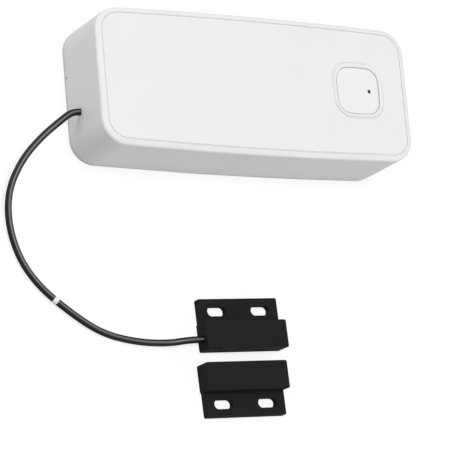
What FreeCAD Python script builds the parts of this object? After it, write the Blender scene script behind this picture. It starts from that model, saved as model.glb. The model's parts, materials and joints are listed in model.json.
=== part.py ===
import FreeCAD, Part
import math
import os
from FreeCAD import Vector

# Door and window sensor: a battery radio unit on its wall plate, with a wired reed contact and its magnet.
# Millimetres. The origin is the centre of the wall plate's back face. +Z points out of the front,
# +X from the cable end to the button end. Everything lies on the plane z = 0.

# Case, a moulded box open at the back
case_length = 110.0
case_width = 45.4
side_crown = 1.0           # bulge of each long side, from its ends to its middle
corner_radius = 8.0
wall = 1.8
rim_band = 1.85            # width of the sloped band round the front
rim_drop = 0.56            # fall of the band from its inner to its outer edge
groove = 0.25              # shadow line between the rim and the front panel
ledge_width = 2.3
ledge_thickness = 1.4

# Front panel and button
panel_thickness = 1.6
panel_edge_chamfer = 0.2
button_from_end = 18.9     # from the case's end face to the button's middle
button_y = 0.5
button_side = 15.1
button_side_rise = 0.45    # bulge of each side of the button's outline
button_corner = 4.3
button_gap = 0.25
button_proud = 0.1
button_edge = 0.35
button_skin = 1.2
button_pocket = 10.4       # side of the square pocket under the button
stem_reach = 0.3           # the stem reaches this far below the button's flange
button_flange = 0.5
button_flange_thickness = 0.75
button_travel = 0.3
ring_width = 1.25
ring_top_width = 0.5
ring_rise = 0.4
stop_clearance = 0.05
collar_clearance = 0.25
collar_wall = 1.0
collar_depth = 1.7
light_offset = 4.1         # from the button's centre to its light pipe
light_radius = 0.5
light_head_radius = 1.0
light_head_length = 1.0
light_clearance = 0.03

# Wall plate
plate_rim = 1.0            # height of the edge that shows below the case
plate_rim_inset = 0.15
plate_slab = 2.0
seam_gap = 0.15
plate_clearance = 0.15
screw_hole_radius = 2.1
screw_spacing = 80.0
countersink_radius = 3.7
countersink_depth = 1.0
pad_length = 26.0
pad_width = 30.0
pad_thickness = 0.8
pad_spacing = 34.0
press_rib_width = 1.6
press_rib_height = 1.8
press_rib_clearance = 0.3

# Snap hooks of the wall plate and their windows in the case
hook_width = 6.0
hook_stem = 1.0
hook_relief = 4.0
hook_relief_width = 0.8
barb_depth = 0.45
barb_height = 1.0
barb_lift = 0.1
catch_height = 1.05
window_depth = 0.75
window_height = 1.4
window_side_clearance = 0.5
end_hook_y = 5.3
side_hook_x = 30.0
release_hole_radius = 0.45

# Circuit board and what stands on it
board_thickness = 1.6
board_gap = 1.6            # from the case's inner wall to the board's edge
board_from_wall = 6.7      # the board stops here to leave room for the cable clamp
boss_from_cable_wall = 11.2
boss_from_button_wall = 6.6
boss_y = 15.0
boss_radius = 2.5
screw_radius = 1.0
screw_clearance = 0.05
screw_bite = 4.0
screw_tip_room = 0.5
screw_head_radius = 1.9
screw_head_height = 1.3
switch_side = 6.0
switch_body_height = 3.5
plunger_radius = 1.75
plunger_clearance = 0.08
plunger_proud = 0.8
plunger_depth = 1.0
plunger_bottom_room = 0.1  # left under the plunger when it is pressed
led_length = 1.6
led_width = 0.8
led_height = 0.8
radio_from_terminal = 18.0
radio_length = 24.0
radio_width = 18.0
radio_board_thickness = 0.8
shield_margin = 1.5
shield_height = 2.2
shield_wall = 0.3
antenna_x = 6.0
antenna_length = 16.0
antenna_width = 3.0
antenna_height = 2.4
antenna_strip = 0.4
chip_x = 14.0
chip_from_edge = 6.3       # from the board's edge to the chip's middle
chip_side = 7.0
chip_height = 1.0
crystal_from_terminal = 9.5
crystal_length = 11.0
crystal_width = 4.6
crystal_height = 3.5
crystal_corner = 2.1

# Batteries, two micro cells side by side
cell_radius = 5.25
cell_length = 44.5
cell_nub_radius = 1.9
cell_nub_length = 0.8
cell_gap = 0.7
holder_wall = 1.2
holder_from_wall = 5.15
holder_roof = 1.1
holder_room = 0.1
holder_depth = 9.6
spring_room = 3.6
contact_thickness = 0.4
contact_side = 8.0
leaf_width = 5.0
leaf_thickness = 0.35
leaf_foot = 0.6

# Cable and its entry into the case
cable_radius = 1.1
cable_y = -7.8
cable_z = 9.2
entry_clearance = 0.05
clamp_length = 4.4
clamp_width = 9.6
clamp_bar = 2.8
clamp_gap = 0.2
clamp_screw_y = 3.4
clamp_grip_clearance = 0.02
jacket_inside = 6.2        # length of jacket inside the case's wall
core_radius = 0.45
core_pitch = 1.0
terminal_from_wall = 13.2
terminal_length = 8.0
terminal_drop = 3.2        # the block reaches this far below the cable's middle
terminal_pitch = 5.08
terminal_margin = 2.5
terminal_entry_radius = 1.0
terminal_entry_depth = 4.0
terminal_screw_radius = 1.6
terminal_well_depth = 2.4
terminal_screw_height = 1.6
terminal_slot = 0.6
marker_length = 1.6
marker_clearance = 0.05
marker_wall = 0.2

# Contact blocks, the same moulding for the reed switch and for the magnet
block_length = 28.8
block_depth = 8.9
block_height = 6.0
flange_length = 28.2
flange_depth = 7.7
flange_thickness = 2.2
slot_spacing = 15.5
slot_length = 6.5
slot_width = 3.05
slot_from_block = 3.7
contact_edge = 0.3
contact_corner = 0.6
contact_wall = 1.4
contact_roof = 1.2
potting_recess = 0.1
lead_z = 3.0
lead_from_gap = 3.6
glass_radius = 1.15
glass_length = 14.0
glass_wall = 0.3
glass_seal = 2.1           # solid glass at each end, sealed round the blade's tail
glass_shift = 1.2
blade_width = 1.2
blade_thickness = 0.25
blade_gap = 0.15
blade_overlap = 1.4
blade_tail = 2.4
reed_wire_radius = 0.35
reed_wire_bend = 1.2
reed_wire_gap = 0.15
reed_lead_length = 3.6
magnet_length = 22.0
magnet_depth = 5.0
magnet_height = 4.4

# Where the two contacts lie: the middle of the face that each turns to the other
contact_turn = 2.5         # degrees
reed_x = -1.3
reed_y = -79.6
contact_gap = 4.1
magnet_shift = -1.4        # the magnet lies this far off to the side

# The free cable's route, from the case's end wall to the reed contact
cable_low = cable_radius
cable_route = [
    Vector(-57.6, cable_y, cable_z),
    Vector(-61.9, -11.1, 8.9),
    Vector(-67.7, -15.9, 7.3),
    Vector(-73.7, -22.8, 5.0),
    Vector(-78.0, -32.2, 2.9),
    Vector(-78.0, -42.8, 1.5),
    Vector(-74.7, -53.4, cable_low),
    Vector(-68.7, -61.7, 1.4),
    Vector(-59.3, -69.1, 1.4),
    Vector(-49.3, -75.1, cable_low),
    Vector(-37.9, -77.5, cable_low),
    Vector(-27.3, -77.8, 1.4),
]
marker_run = 8             # the marker sits at the middle of this run
last_run = 4.2
arc_share = 0.45           # of a run, used up by the arc at one of its ends

# Shared by many pieces
through = 1.0              # how far a cutting shape runs past the face that it cuts
bed = 0.5                  # how far a rib or a hook runs into the slab that carries it
small_edge = 0.4           # chamfer on the small inner pieces
sides = 12                 # flats of the cable, the wires, the glass and the screws, all round in fact

# Levels and places that follow from the sizes above. The case is as high as what it holds: the wall
# plate with its press ribs, a cell in its tray, the board, the switch, the button and the front panel.
seam_top = plate_rim + seam_gap
cell_low = plate_slab + press_rib_height + press_rib_clearance
cell_z = cell_low + cell_radius
holder_top = cell_z + cell_radius + holder_room + holder_roof
board_bottom = holder_top
board_top = board_bottom + board_thickness
switch_top = board_top + switch_body_height + plunger_proud
flange_bottom = switch_top + stem_reach
flange_top = flange_bottom + button_flange_thickness
ledge_top = flange_top + stop_clearance
ledge_bottom = ledge_top - ledge_thickness
front_height = ledge_top + panel_thickness
rim_edge_z = front_height - rim_drop
button_top = front_height + button_proud
end_face = case_length / 2
inner_end = end_face - wall
button_x = end_face - button_from_end
cell_y = cell_radius + cell_gap / 2
cavity_length = cell_length + cell_nub_length + spring_room + 2 * contact_thickness
cavity_half = cell_y + cell_radius + cell_gap / 2
holder_x = inner_end - holder_from_wall - holder_wall - cavity_length / 2
jacket_end = jacket_inside - inner_end
board_end = board_from_wall - inner_end
terminal_x = terminal_from_wall - inner_end
terminal_height = board_bottom - cable_z + terminal_drop
crystal_x = terminal_x + crystal_from_terminal
radio_x = terminal_x + radio_from_terminal
chip_y = chip_from_edge - (case_width / 2 - wall - board_gap)
boss_left_x = boss_from_cable_wall - inner_end
boss_right_x = inner_end - boss_from_button_wall
reed_place = Vector(reed_x, reed_y, 0)
magnet_place = Vector(reed_x + magnet_shift, reed_y - contact_gap, 0)
board_bosses = [(x, y) for x in (boss_left_x, boss_right_x) for y in (boss_y, -boss_y)]
contact_floor = block_height - contact_roof


def cylinder(radius, start, end):
    axis = end - start
    return Part.makeCylinder(radius, axis.Length, start, axis)


def polygon(radius, centre, axis):
    # regular outline inside a circle, square to the axis
    across = axis.cross(Vector(0, 0, 1))
    if across.Length < axis.Length / 2:
        across = axis.cross(Vector(1, 0, 0))
    across = across.normalize() * radius
    up = (axis.cross(across)).normalize() * radius
    turns = [2 * math.pi * k / sides for k in range(sides + 1)]
    return Part.makePolygon([centre + across * math.cos(a) + up * math.sin(a) for a in turns])


def polygon_area(radius):
    return sides / 2 * radius ** 2 * math.sin(2 * math.pi / sides)


def rod(radius, start, end):
    return Part.Face(polygon(radius, start, end - start)).extrude(end - start)


def hole_along_x(radius, start, depth):
    # cutting cylinder that runs past both faces of a wall
    past = Vector(through, 0, 0)
    return cylinder(radius, start - past, start + Vector(depth, 0, 0) + past)


def block(low, high):
    size = high - low
    return Part.makeBox(size.x, size.y, size.z, low)


def case_wire(inset, z):
    # outline of the case at one level, moved inwards: straight ends, crowned sides, tangent corners
    corner = corner_radius - inset
    half_length = case_length / 2 - inset
    half_width = case_width / 2 - inset
    crown_radius = ((case_length / 2) ** 2 + side_crown ** 2) / (2 * side_crown) - inset
    corner_x = half_length - corner
    crown_centre = half_width - crown_radius
    corner_y = crown_centre + math.sqrt((crown_radius - corner) ** 2 - corner_x ** 2)
    turn = math.atan2(corner_y - crown_centre, corner_x)

    def corner_point(side_x, side_y, angle):
        x = corner_x + corner * math.cos(angle)
        y = corner_y + corner * math.sin(angle)
        return Vector(side_x * x, side_y * y, z)

    edges = []
    for s in (1, -1):
        edges.append(Part.makeLine(corner_point(s, -s, 0), corner_point(s, s, 0)))
        edges.append(arc(corner_point(s, s, 0), corner_point(s, s, turn / 2), corner_point(s, s, turn)))
        edges.append(arc(corner_point(s, s, turn), Vector(0, s * half_width, z), corner_point(-s, s, turn)))
        edges.append(arc(corner_point(-s, s, turn), corner_point(-s, s, turn / 2), corner_point(-s, s, 0)))
    return Part.Wire(edges)


def button_wire(grow, z):
    # outline of the button, moved outwards: four bulged sides joined by tangent corners
    half = button_side / 2
    side_radius = (half ** 2 + button_side_rise ** 2) / (2 * button_side_rise)
    lean = side_radius - half
    reach = side_radius - button_corner
    centre = (math.sqrt(2 * reach ** 2 - lean ** 2) - lean) / 2
    start = math.atan2(centre, centre + lean)
    corner = button_corner + grow
    origin = Vector(button_x, button_y, z)

    def turned(x, y, quarter):
        a = quarter * math.pi / 2
        return origin + Vector(x * math.cos(a) - y * math.sin(a), x * math.sin(a) + y * math.cos(a), 0)

    def corner_point(angle, quarter):
        return turned(centre + corner * math.cos(angle), centre + corner * math.sin(angle), quarter)

    edges = []
    for quarter in range(4):
        first = corner_point(start, quarter)
        last = corner_point(math.pi / 2 - start, quarter)
        after = corner_point(start, quarter + 1)
        edges.append(arc(first, corner_point(math.pi / 4, quarter), last))
        edges.append(arc(last, turned(0, half + grow, quarter), after))
    return Part.Wire(edges)


def arc(first, middle, last):
    return Part.Arc(first, middle, last).toShape()


def prism(wire, height):
    return Part.Face(wire).extrude(Vector(0, 0, height))


def edges_at(shape, z, fits=lambda edge: True):
    level = [e for e in shape.Edges if all(abs(v.Z - z) < 0.001 for v in e.Vertexes)]
    return [e for e in level if abs(e.BoundBox.ZLength) < 0.001 and fits(e)]


def case_solid(inset, low, high):
    return prism(case_wire(inset, low), high - low)


def rounded_path(points):
    # straight runs joined by tangent arcs, each as large as its two runs allow. An inner run is shared
    # by the arcs at both its ends, and the first and last runs have an arc at one end only.
    edges = []
    radii = []
    start = points[0]
    runs = [(b - a).Length for a, b in zip(points, points[1:])]
    runs[0] *= 2
    runs[-1] *= 2
    for i, point in enumerate(points[1:-1]):
        into = point - points[i]
        out = points[i + 2] - point
        half_turn = into.getAngle(out) / 2
        reach = arc_share * min(runs[i], runs[i + 1])
        radius = reach / math.tan(half_turn)
        into.normalize()
        out.normalize()
        inward = out - into
        inward.normalize()
        first = point - into * reach
        last = point + out * reach
        middle = point + inward * (radius / math.cos(half_turn) - radius)
        edges.append(Part.makeLine(start, first))
        edges.append(arc(first, middle, last))
        radii.append(radius)
        start = last
    edges.append(Part.makeLine(start, points[-1]))
    return Part.Wire(edges), radii


def tube(points, radius):
    path, radii = rounded_path(points)
    section = polygon(radius, points[0], points[1] - points[0])
    solid = path.makePipeShell([section], True, False)
    return solid, path.Length, radii


def bent_wire(points, radius):
    # stiff wire with mitred bends
    path = Part.makePolygon(points)
    section = polygon(radius, points[0], points[1] - points[0])
    return path.makePipeShell([section], True, False, 1)


# The snap hooks stand at both ends and on both long sides, each turned to face its own wall
def hook_places():
    side_wall = case_wire(wall, seam_top).BoundBox.YMax
    places = [(Vector(-inner_end, end_hook_y, 0), 180), (Vector(inner_end, end_hook_y, 0), 0)]
    for x in (-side_hook_x, side_hook_x):
        drop = side_crown * (x / end_face) ** 2
        places.append((Vector(x, side_wall - drop, 0), 90))
        places.append((Vector(x, drop - side_wall, 0), -90))
    return places


def at_wall(shape, place, turn):
    # modelled with the wall's inner face at x = 0 and the outside towards +X
    moved = shape.copy()
    moved.rotate(Vector(0, 0, 0), Vector(0, 0, 1), turn)
    moved.translate(place)
    return moved


def make_case():
    case = case_solid(0, seam_top, front_height)
    case = case.makeChamfer(rim_drop, rim_band, edges_at(case, front_height))
    case = case.cut(case_solid(wall, seam_top, ledge_bottom))
    case = case.cut(case_solid(rim_band, ledge_top, front_height + through))
    case = case.cut(case_solid(rim_band + ledge_width, ledge_bottom, ledge_top + through))
    case = case.fuse(make_clamp_boss())
    entry = Vector(-end_face, cable_y, cable_z)
    case = case.cut(hole_along_x(cable_radius + entry_clearance, entry, wall))
    release_z = seam_top + catch_height / 2
    release = Vector(-end_face, end_hook_y, release_z)
    case = case.cut(hole_along_x(release_hole_radius, release, wall))
    window_low = seam_top + catch_height
    half = hook_width / 2 + window_side_clearance
    window_top = window_low + window_height
    window = block(Vector(-through, -half, window_low), Vector(window_depth, half, window_top))
    for place, turn in hook_places():
        case = case.cut(at_wall(window, place, turn))
    return case


def make_clamp_boss():
    # solid bracket in the cable end, with half of the cable's groove and two screw holes
    low = Vector(-inner_end - wall / 2, cable_y - clamp_width / 2, cable_z + clamp_gap / 2)
    high = Vector(-inner_end + clamp_length, cable_y + clamp_width / 2, ledge_bottom + ledge_thickness / 2)
    boss = block(low, high)
    groove_start = Vector(-inner_end - wall, cable_y, cable_z)
    groove_end = Vector(-inner_end + clamp_length + through, cable_y, cable_z)
    boss = boss.cut(cylinder(cable_radius + clamp_grip_clearance, groove_start, groove_end))
    for place in clamp_screw_places():
        tip = place + Vector(0, 0, screw_bite + screw_tip_room)
        boss = boss.cut(cylinder(screw_radius + screw_clearance, place, tip))
    return boss


def clamp_screw_places():
    x = -inner_end + clamp_length / 2
    return [Vector(x, cable_y + s * clamp_screw_y, cable_z + clamp_gap / 2) for s in (1, -1)]


def make_lead_clamp():
    top = cable_z - clamp_gap / 2
    low = Vector(-inner_end + clamp_gap, cable_y - clamp_width / 2, top - clamp_bar)
    high = Vector(-inner_end + clamp_length, cable_y + clamp_width / 2, top)
    bar = block(low, high)
    bar = bar.makeChamfer(small_edge, edges_at(bar, low.z))
    start = Vector(low.x, cable_y, cable_z)
    bar = bar.cut(hole_along_x(cable_radius + clamp_grip_clearance, start, high.x - low.x))
    for place in clamp_screw_places():
        below = Vector(place.x, place.y, low.z - through)
        bar = bar.cut(cylinder(screw_radius + screw_clearance, below, place))
    return bar


def screw(seat, bite):
    # pan head screw driven upwards, with its head below the seat
    down = Vector(0, 0, -screw_head_height)
    head = rod(screw_head_radius, seat, seat + down)
    return head.fuse(rod(screw_radius, seat, seat + Vector(0, 0, bite)))


def make_clamp_screws():
    seat_z = cable_z - clamp_gap / 2 - clamp_bar
    screws = []
    for place in clamp_screw_places():
        bite = place.z - seat_z + screw_bite
        screws.append(screw(Vector(place.x, place.y, seat_z), bite))
    return Part.makeCompound(screws)


def make_front_panel():
    panel = prism(case_wire(rim_band + groove, ledge_top), panel_thickness)
    panel = panel.makeChamfer(panel_edge_chamfer, edges_at(panel, front_height))
    ring = prism(button_wire(button_gap + ring_width, ledge_top), panel_thickness + ring_rise)
    ring = ring.makeChamfer(ring_rise, ring_width - ring_top_width, edges_at(ring, front_height + ring_rise))
    panel = panel.fuse(ring)
    collar_in = button_gap + button_flange + collar_clearance
    collar = prism(button_wire(collar_in + collar_wall, ledge_top - collar_depth), collar_depth)
    collar = collar.cut(prism(button_wire(collar_in, ledge_top - collar_depth), collar_depth))
    panel = panel.fuse(collar)
    for x, y in board_bosses:
        foot = Vector(x, y, board_top)
        panel = panel.fuse(cylinder(boss_radius, foot, Vector(x, y, ledge_top)))
        tip = foot + Vector(0, 0, screw_bite)
        panel = panel.cut(cylinder(screw_radius + screw_clearance, foot, tip))
    opening = prism(button_wire(button_gap, ledge_top - through), panel_thickness + ring_rise + 2 * through)
    return panel.cut(opening).removeSplitter()


def light_foot():
    return Vector(button_x + light_offset, button_y, flange_bottom)


def make_button_cap():
    cap = prism(button_wire(0, flange_bottom), button_top - flange_bottom)
    cap = cap.makeChamfer(button_edge, edges_at(cap, button_top))
    flange = prism(button_wire(button_gap + button_flange, flange_bottom), button_flange_thickness)
    cap = cap.fuse(flange)
    hollow_height = button_top - button_skin - flange_bottom
    hollow = on_board(button_x, button_y, button_pocket, button_pocket, hollow_height, flange_bottom)
    stem_top = Vector(button_x, button_y, button_top - button_skin)
    stem = cylinder(plunger_radius, Vector(button_x, button_y, switch_top), stem_top)
    sleeve_top = light_foot() + Vector(0, 0, hollow_height)
    sleeve = cylinder(light_head_radius + light_clearance + button_skin / 2, light_foot(), sleeve_top)
    cap = cap.cut(hollow).fuse([stem, sleeve])
    head_top = light_foot() + Vector(0, 0, light_head_length)
    head_hole = cylinder(light_head_radius + light_clearance, light_foot(), head_top)
    top = Vector(button_x + light_offset, button_y, button_top + through)
    pipe_hole = cylinder(light_radius + light_clearance, light_foot(), top)
    return cap.cut([head_hole, pipe_hole]).removeSplitter()


def make_light_pipe():
    top = Vector(button_x + light_offset, button_y, button_top - button_proud)
    pipe = cylinder(light_radius, light_foot(), top)
    head_start = light_foot() - Vector(0, 0, light_head_length)
    head_end = light_foot() + Vector(0, 0, light_head_length / 2)
    return pipe.fuse(cylinder(light_head_radius, head_start, head_end))


def make_tact_switch():
    half = switch_side / 2
    low = Vector(button_x - half, button_y - half, board_top)
    body = block(low, low + Vector(switch_side, switch_side, switch_body_height))
    well_low = switch_top - plunger_proud - plunger_depth - button_travel - plunger_bottom_room
    well = cylinder(plunger_radius + plunger_clearance, Vector(button_x, button_y, well_low),
                    Vector(button_x, button_y, switch_top))
    upright = [e for e in body.Edges if e.BoundBox.ZLength > switch_body_height / 2]
    return body.makeChamfer(small_edge, upright).cut(well)


def make_switch_plunger():
    low = Vector(button_x, button_y, switch_top - plunger_proud - plunger_depth)
    return cylinder(plunger_radius, low, Vector(button_x, button_y, switch_top))


def make_circuit_board():
    board = prism(case_wire(wall + board_gap, board_bottom), board_thickness)
    clear_low = Vector(-end_face, -case_width, board_bottom - through)
    board = board.cut(block(clear_low, Vector(board_end, case_width, board_top + through)))
    for x, y in board_bosses:
        below = Vector(x, y, board_bottom - through)
        above = Vector(x, y, board_top + through)
        board = board.cut(cylinder(screw_radius + screw_clearance, below, above))
    return board


def make_board_screws():
    bite = board_thickness + screw_bite - screw_tip_room
    return Part.makeCompound([screw(Vector(x, y, board_bottom), bite) for x, y in board_bosses])


def on_board(x, y, length, width, height, base):
    low = Vector(x - length / 2, y - width / 2, base)
    return block(low, low + Vector(length, width, height))


def make_status_led():
    led = on_board(button_x + light_offset, button_y, led_width, led_length, led_height, board_top)
    return led.makeChamfer(led_width / 4, edges_at(led, board_top + led_height))


def make_radio_shield():
    base = board_top + radio_board_thickness
    length = radio_length - 2 * shield_margin
    width = radio_width - 2 * shield_margin
    can = on_board(radio_x, 0, length, width, shield_height, base)
    can = can.makeChamfer(small_edge, edges_at(can, base + shield_height))
    inner_height = shield_height - shield_wall
    inside = on_board(radio_x, 0, length - 2 * shield_wall, width - 2 * shield_wall, inner_height, base)
    return can.cut(inside)


def make_antenna():
    # strip bent into a bridge: two feet on the board and a raised bar
    bridge = on_board(antenna_x, 0, antenna_length, antenna_width, antenna_height, board_top)
    under = on_board(antenna_x, 0, antenna_length - 2 * antenna_strip, antenna_width + through,
                     antenna_height - antenna_strip, board_top)
    return bridge.cut(under)


def make_crystal():
    can = on_board(crystal_x, 0, crystal_length, crystal_width, crystal_height, board_bottom - crystal_height)
    upright = [e for e in can.Edges if e.BoundBox.ZLength > crystal_height / 2]
    return can.makeFillet(crystal_corner, upright)


def make_battery_holder():
    # tray fixed to the back of the board and open towards the wall plate
    height = holder_roof + holder_depth
    tray = on_board(holder_x, 0, cavity_length + 2 * holder_wall, 2 * (cavity_half + holder_wall), height,
                    holder_top - height)
    pocket = on_board(holder_x, 0, cavity_length, 2 * cavity_half, holder_depth, holder_top - height)
    tray = tray.cut(pocket)
    finger = cylinder(cell_radius, Vector(holder_x, -case_width, holder_top - height),
                      Vector(holder_x, case_width, holder_top - height))
    rib_height = holder_depth / 3
    rib = on_board(holder_x, 0, cavity_length, cell_gap - 2 * holder_room, rib_height,
                   holder_top - holder_roof - rib_height)
    return tray.cut(finger).fuse(rib)


def cell_ends(side):
    # the two cells lie head to tail, so each spring end faces the other way
    spring_end = holder_x - side * cavity_length / 2
    foot = spring_end + side * (contact_thickness + spring_room)
    return spring_end, foot


def make_cell(side):
    foot = cell_ends(side)[1]
    start = Vector(foot, side * cell_y, cell_z)
    shoulder = start + Vector(side * cell_length, 0, 0)
    can = cylinder(cell_radius, start, shoulder)
    return can.fuse(cylinder(cell_nub_radius, shoulder, shoulder + Vector(side * cell_nub_length, 0, 0)))


def contact_plate(x, side, direction):
    low = Vector(min(x, x + direction * contact_thickness), side * cell_y - contact_side / 2,
                 cell_z - contact_side / 2)
    return block(low, low + Vector(contact_thickness, contact_side, contact_side))


def make_battery_springs():
    # contact plates with a bowed leaf that presses on the flat end of the cell
    springs = []
    for side in (1, -1):
        wall_x, foot = cell_ends(side)
        plate = contact_plate(wall_x, side, side)
        base = wall_x + side * contact_thickness
        half = contact_side / 2
        bow = []
        for x, reach in ((foot, 0), (foot - side * leaf_thickness, leaf_thickness)):
            span = half - leaf_foot - reach
            bow.append([Vector(base, side * cell_y, cell_z - span), Vector(x, side * cell_y, cell_z),
                        Vector(base, side * cell_y, cell_z + span)])
        outer, inner = bow
        feet = [Part.makeLine(outer[2], inner[2]), Part.makeLine(inner[0], outer[0])]
        profile = Part.Wire([arc(*outer), feet[0], arc(inner[2], inner[1], inner[0]), feet[1]])
        profile.translate(Vector(0, -leaf_width / 2, 0))
        leaf = Part.Face(profile).extrude(Vector(0, leaf_width, 0))
        springs.append(plate.fuse(leaf))
    return Part.makeCompound(springs)


def make_battery_plates():
    plates = []
    for side in (1, -1):
        wall_x = holder_x + side * cavity_length / 2
        plates.append(contact_plate(wall_x, side, -side))
    return Part.makeCompound(plates)


def make_wall_plate():
    slab_inset = wall + plate_clearance
    plate = case_solid(plate_rim_inset, 0, plate_rim)
    plate = plate.fuse(case_solid(slab_inset, 0, plate_slab))
    hook_top = seam_top + catch_height + barb_lift + barb_height
    half = hook_width / 2
    stem_face = -plate_clearance
    stem = block(Vector(stem_face - hook_stem, -half, plate_slab - bed), Vector(stem_face, half, hook_top))
    barb_low = seam_top + catch_height + barb_lift
    profile = Part.makePolygon([
        Vector(stem_face, -half, barb_low),
        Vector(barb_depth, -half, barb_low),
        Vector(barb_depth, -half, barb_low + barb_height / 3),
        Vector(stem_face, -half, hook_top),
        Vector(stem_face, -half, barb_low),
    ])
    barb = Part.Face(profile).extrude(Vector(0, hook_width, 0))
    hook = stem.fuse(barb)
    relief = block(Vector(stem_face - hook_relief, half, -through),
                   Vector(stem_face, half + hook_relief_width, plate_slab + through))
    mirrored = relief.mirror(Vector(0, 0, 0), Vector(0, 1, 0))
    for place, turn in hook_places():
        plate = plate.fuse(at_wall(hook, place, turn))
        plate = plate.cut([at_wall(relief, place, turn), at_wall(mirrored, place, turn)])
    rib_top = plate_slab + press_rib_height
    for x in (holder_x - cell_length / 4, holder_x + cell_length / 4):
        low = Vector(x - press_rib_width / 2, -cavity_half, plate_slab - bed)
        plate = plate.fuse(block(low, Vector(x + press_rib_width / 2, cavity_half, rib_top)))
    for side in (1, -1):
        x = side * screw_spacing / 2
        hole = cylinder(screw_hole_radius, Vector(x, 0, -through), Vector(x, 0, plate_slab + through))
        sink = Part.makeCone(screw_hole_radius, countersink_radius, countersink_depth,
                             Vector(x, 0, plate_slab - countersink_depth))
        plate = plate.cut([hole, sink])
    for pad in pad_solids():
        plate = plate.cut(pad)
    return plate.removeSplitter()


def pad_solids():
    return [on_board(side * pad_spacing / 2, 0, pad_length, pad_width, pad_thickness, 0) for side in (1, -1)]


def make_terminal_block():
    half_width = terminal_pitch / 2 + terminal_margin
    base = board_bottom - terminal_height
    body = on_board(terminal_x, cable_y, terminal_length, 2 * half_width, terminal_height, base)
    front = terminal_x - terminal_length / 2
    for side in (1, -1):
        y = cable_y + side * terminal_pitch / 2
        entry = Vector(front, y, cable_z)
        bottom = entry + Vector(terminal_entry_depth, 0, 0)
        body = body.cut(cylinder(terminal_entry_radius, entry - Vector(through, 0, 0), bottom))
        well = Vector(terminal_x, y, base)
        well_top = well + Vector(0, 0, terminal_well_depth)
        body = body.cut(cylinder(terminal_screw_radius + screw_clearance, well, well_top))
    return body


def make_terminal_screws():
    base = board_bottom - terminal_height + terminal_well_depth
    screws = []
    for side in (1, -1):
        top = Vector(terminal_x, cable_y + side * terminal_pitch / 2, base)
        head = rod(terminal_screw_radius, top - Vector(0, 0, terminal_screw_height), top)
        slot_low = top - Vector(terminal_screw_radius, terminal_slot / 2, terminal_screw_height)
        slot = block(slot_low, slot_low + Vector(2 * terminal_screw_radius, terminal_slot, terminal_slot))
        screws.append(head.cut(slot))
    return Part.makeCompound(screws)


def make_inner_lead():
    start = Vector(-end_face, cable_y, cable_z)
    return cylinder(cable_radius, start, Vector(jacket_end, cable_y, cable_z))


def make_lead_cores():
    front = terminal_x - terminal_length / 2
    cores = []
    for side in (1, -1):
        near = cable_y + side * core_pitch / 2
        far = cable_y + side * terminal_pitch / 2
        bare = (front - jacket_end) / 5
        points = [
            Vector(jacket_end, near, cable_z),
            Vector(jacket_end + bare, near, cable_z),
            Vector(front - bare, far, cable_z),
            Vector(front + terminal_entry_depth - screw_clearance, far, cable_z),
        ]
        cores.append(bent_wire(points, core_radius))
    return Part.makeCompound(cores)


def placed(shape, place, turn):
    moved = shape.copy()
    moved.rotate(Vector(0, 0, 0), Vector(0, 0, 1), turn)
    moved.translate(place)
    return moved


def at_reed(shape):
    return placed(shape, reed_place, contact_turn)


def at_magnet(shape):
    return placed(shape, magnet_place, contact_turn + 180)


# The contacts are modelled with the middle of the gap face at the origin and the flange towards +Y
def contact_cavity():
    half = block_length / 2 - contact_wall
    return block(Vector(-half, contact_wall, 0), Vector(half, block_depth - contact_wall, contact_floor))


def contact_housing():
    half = block_length / 2
    body = block(Vector(-half, 0, 0), Vector(half, block_depth, block_height))
    upright = [e for e in body.Edges if e.BoundBox.ZLength > block_height / 2]
    body = body.makeFillet(contact_corner, upright)
    body = body.makeChamfer(contact_edge, edges_at(body, block_height))
    half = flange_length / 2
    flange_end = block_depth + flange_depth
    flange = block(Vector(-half, block_depth / 2, 0), Vector(half, flange_end, flange_thickness))
    upright = [e for e in flange.Edges if e.BoundBox.ZLength > flange_thickness / 2]
    outer = [e for e in upright if e.BoundBox.YMin > block_depth]
    flange = flange.makeFillet(contact_corner, outer)
    outer_top = edges_at(flange, flange_thickness, lambda e: e.BoundBox.YMax > block_depth)
    flange = flange.makeChamfer(contact_edge, outer_top)
    body = body.fuse(flange)
    for side in (1, -1):
        body = body.cut(slot_prism(side * slot_spacing / 2, block_depth + slot_from_block))
    return body.cut(contact_cavity()).removeSplitter()


def slot_prism(x, y):
    radius = slot_width / 2
    run = slot_length / 2 - radius
    low = -through
    corners = [Vector(x + sx * run, y + sy * radius, low) for sx, sy in ((-1, -1), (1, -1), (1, 1), (-1, 1))]
    edges = [
        Part.makeLine(corners[0], corners[1]),
        arc(corners[1], Vector(x + run + radius, y, low), corners[2]),
        Part.makeLine(corners[2], corners[3]),
        arc(corners[3], Vector(x - run - radius, y, low), corners[0]),
    ]
    return prism(Part.Wire(edges), flange_thickness + 2 * through)


def lead_mouth():
    return Vector(-block_length / 2, lead_from_gap, lead_z)


def make_reed_housing():
    return contact_housing().cut(hole_along_x(cable_radius + entry_clearance, lead_mouth(), contact_wall))


def make_reed_lead():
    return cylinder(cable_radius, lead_mouth(), lead_mouth() + Vector(reed_lead_length, 0, 0))


def make_reed_blades():
    blades = []
    middle = Vector(glass_shift, lead_from_gap, lead_z)
    for side in (1, -1):
        tip = middle.x - side * blade_overlap / 2
        shoulder = middle.x + side * (glass_length / 2 - blade_tail)
        z = middle.z + side * (blade_gap + blade_thickness) / 2
        low = Vector(min(tip, shoulder), middle.y - blade_width / 2, z - blade_thickness / 2)
        blade = block(low, low + Vector(abs(shoulder - tip), blade_width, blade_thickness))
        tail_end = middle.x + side * (glass_length / 2 + blade_tail)
        tail = rod(reed_wire_radius, Vector(shoulder - side * reed_wire_radius, middle.y, middle.z),
                   Vector(tail_end, middle.y, middle.z))
        blades.append(blade.fuse(tail))
    return Part.makeCompound(blades)


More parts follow.
